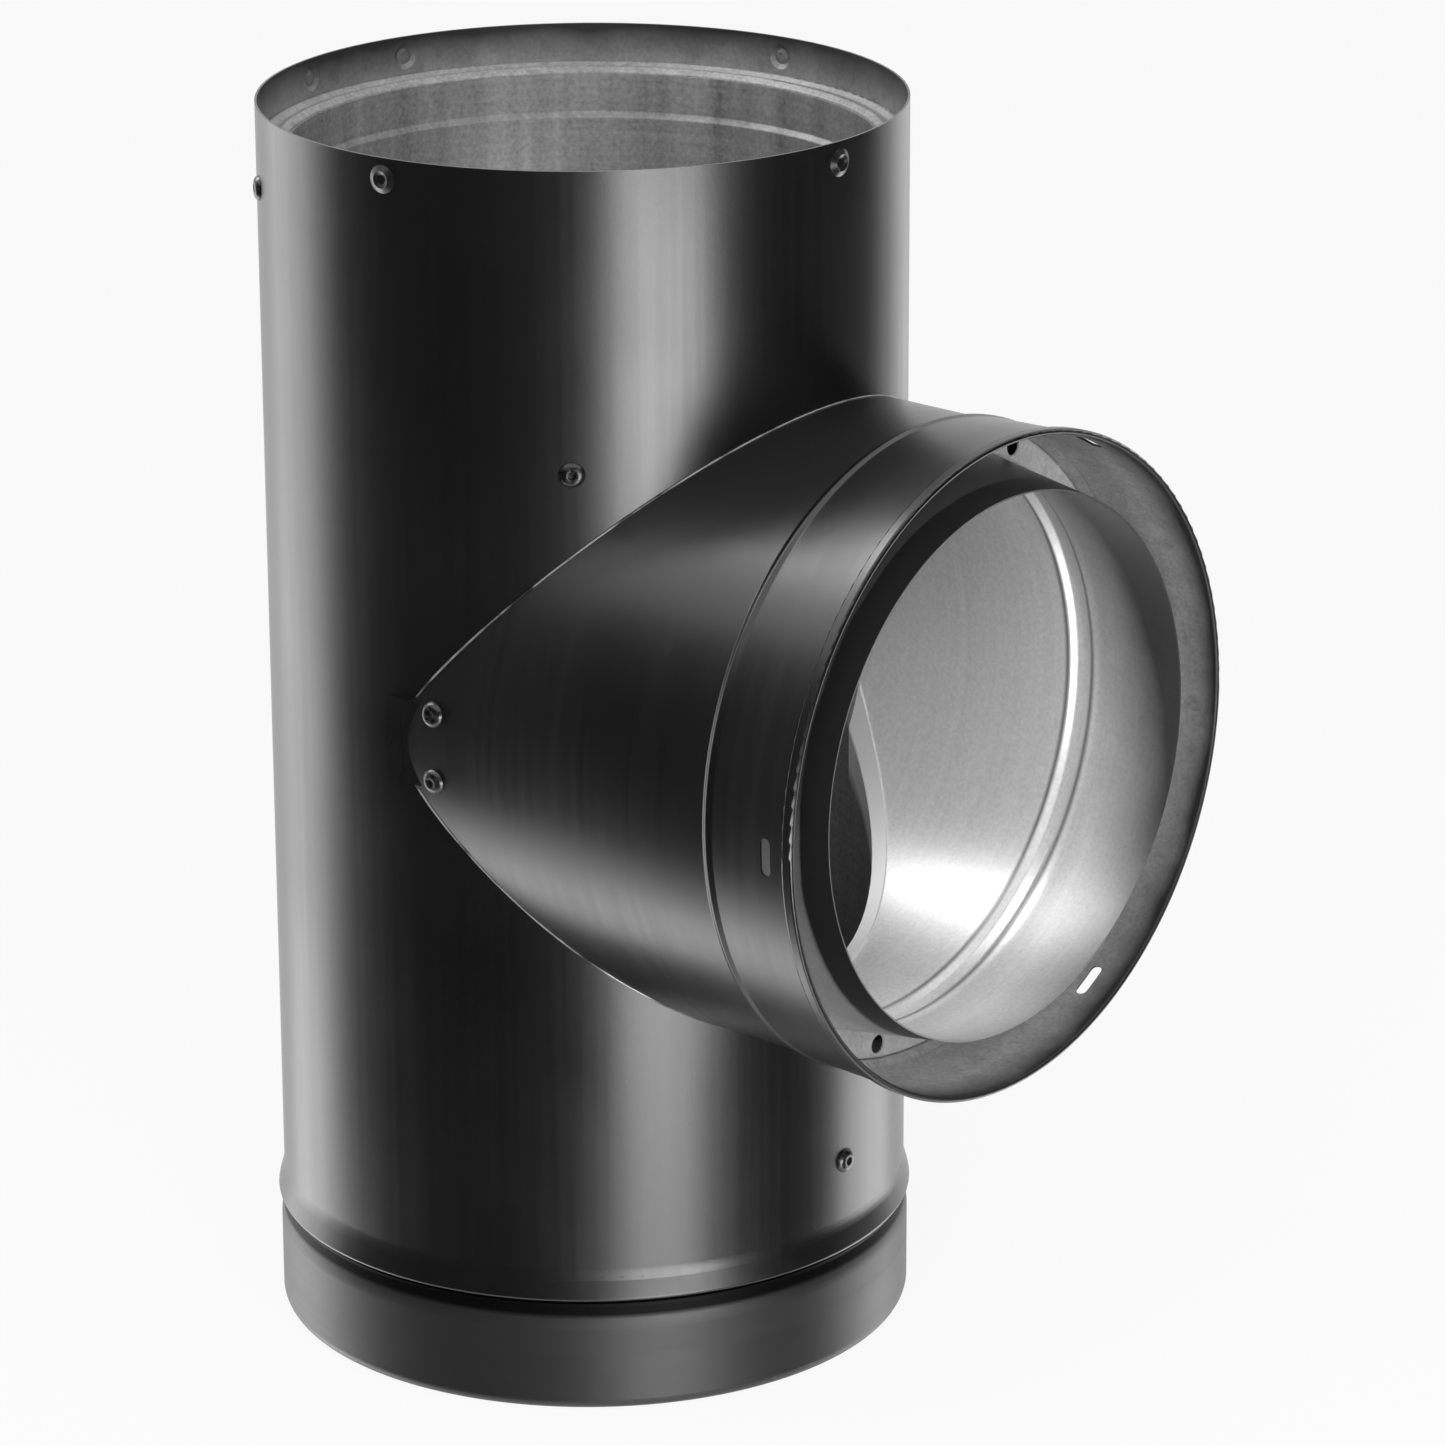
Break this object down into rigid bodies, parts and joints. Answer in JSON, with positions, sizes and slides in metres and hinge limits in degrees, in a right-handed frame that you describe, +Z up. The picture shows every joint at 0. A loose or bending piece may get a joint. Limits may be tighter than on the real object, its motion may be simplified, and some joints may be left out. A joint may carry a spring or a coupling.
{
  "type": "stove pipe tee",
  "caption": "Double-wall stove pipe tee: black outer tube, bright inner flue tube, side branch with a slotted collar and a clean-out cap at the bottom.",
  "frame": {"origin": "on the run's axis, in the plane of the cap's foot ring that the tee stands on", "axes": "+Z up the run towards its open top, +X along the branch's axis towards its mouth"},
  "size_m": [0.2321, 0.175, 0.3358],
  "materials": {
    "black_paint": "satin",
    "matte_black_paint": "matte",
    "black_rivet": "satin",
    "stainless": "semi-bright",
    "galvanised": "bright"
  },
  "bodies": {
    "tee": {"run_casing": "black_paint", "run_liner": "stainless", "top_spacer_ring": "galvanised", "bottom_spacer_ring": "galvanised", "liner_clip_1": "galvanised", "liner_clip_2": "galvanised", "branch_sleeve": "black_paint", "branch_liner": "stainless", "branch_spacer_ring": "galvanised", "saddle_rivet_1": "black_rivet", "saddle_rivet_2": "black_rivet", "saddle_rivet_3": "black_rivet", "saddle_rivet_4": "black_rivet", "top_rivet_1": "black_rivet", "top_rivet_2": "black_rivet", "upper_rivet_1": "black_rivet", "upper_rivet_2": "black_rivet", "lower_rivet_1": "black_rivet", "lower_rivet_2": "black_rivet"},
    "cap": {"cap_shell": "matte_black_paint", "cap_cup": "stainless", "cap_rivet_1": "black_rivet", "cap_rivet_2": "black_rivet", "cap_rivet_3": "black_rivet"}
  },
  "joints": [
    {"name": "cap_slide", "type": "slide", "parent": "tee", "child": "cap", "axis": [0, 0, -1], "range_m": [0, 0.045]}
  ]
}
